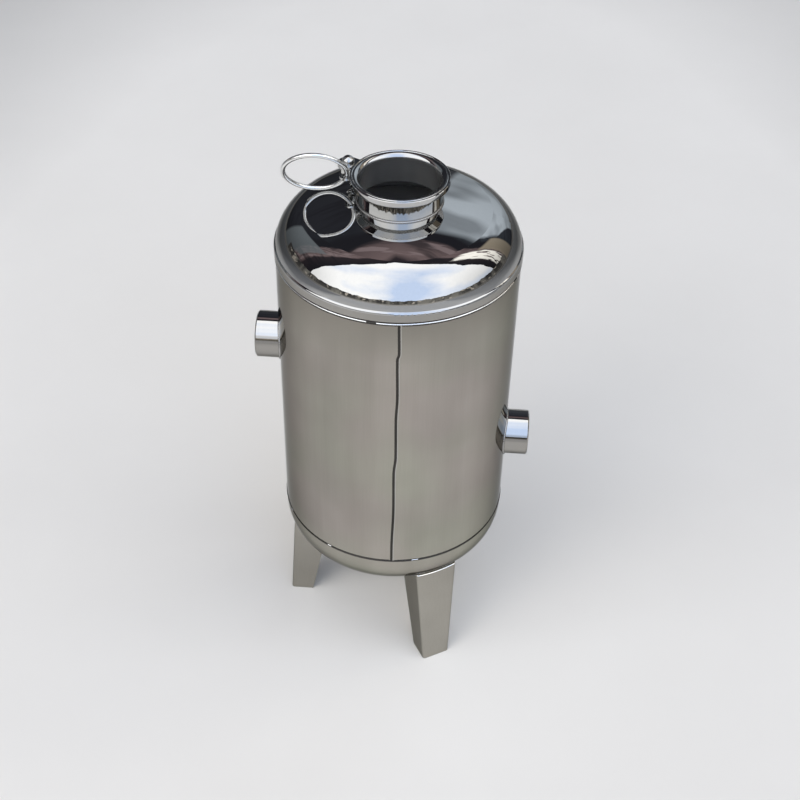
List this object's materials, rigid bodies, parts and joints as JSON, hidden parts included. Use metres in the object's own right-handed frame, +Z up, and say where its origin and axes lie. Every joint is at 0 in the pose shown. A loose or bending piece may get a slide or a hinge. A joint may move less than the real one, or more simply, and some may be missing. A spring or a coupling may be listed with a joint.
{
  "type": "phosphate dosing tank",
  "caption": "Upright polished steel pressure tank on folded legs, with a clamp-flange filling neck, a wire ring handle and threaded side ports that dose phosphate into passing water.",
  "frame": {"origin": "floor under the tank's axis, in the middle of the bounding box's base", "axes": "+Z up along the tank's axis, +X towards the lower side port, -Y towards the front with the longitudinal seam"},
  "size_m": [0.3592, 0.3024, 0.7411],
  "materials": {
    "polished_shell": "mirror polished rolled sheet with fine roller lines",
    "polished_head": "mirror polished pressed sheet",
    "polished_fitting": "mirror polished, turned",
    "turned_socket": "fine turned, bright",
    "polished_leg": "bright folded sheet",
    "bright_fastener": "bright, smooth",
    "bright_wire": "bright drawn wire",
    "inner_tube": "pickled mill finish",
    "weld_bead": "dressed weld with fine ripples"
  },
  "bodies": {
    "tank": {"shell": "polished_shell", "shell_seam_weld": "weld_bead", "top_head": "polished_head", "top_girth_weld": "weld_bead", "bottom_head": "polished_head", "bottom_girth_weld": "weld_bead", "neck_ferrule": "polished_fitting", "neck_weld": "weld_bead", "upper_port_socket": "turned_socket", "upper_port_weld": "weld_bead", "lower_port_socket": "turned_socket", "lower_port_weld": "weld_bead", "leg_left": "polished_leg", "leg_front": "polished_leg", "leg_back": "polished_leg", "leg_welds": "weld_bead", "hinge_lug": "polished_fitting", "lug_weld": "weld_bead", "pivot_bolt": "bright_fastener", "pivot_washer": "bright_fastener", "pivot_nut": "bright_fastener", "eye_plate": "polished_fitting", "dip_pipe": "inner_tube", "outlet_strainer": "inner_tube", "strainer_cap": "inner_tube", "crystal_grid": "inner_tube", "grid_clips": "inner_tube", "drain_socket": "turned_socket", "drain_weld": "weld_bead", "drain_plug": "bright_fastener"},
    "ring": {"ring_handle": "bright_wire"}
  },
  "joints": [
    {"name": "ring_swing", "type": "hinge", "parent": "tank", "child": "ring", "pos_m": [-0.06509, 0.01293, 0.6975], "axis": [-0.2769, 0.4522, -0.8479], "range_deg": [0, 70]}
  ]
}
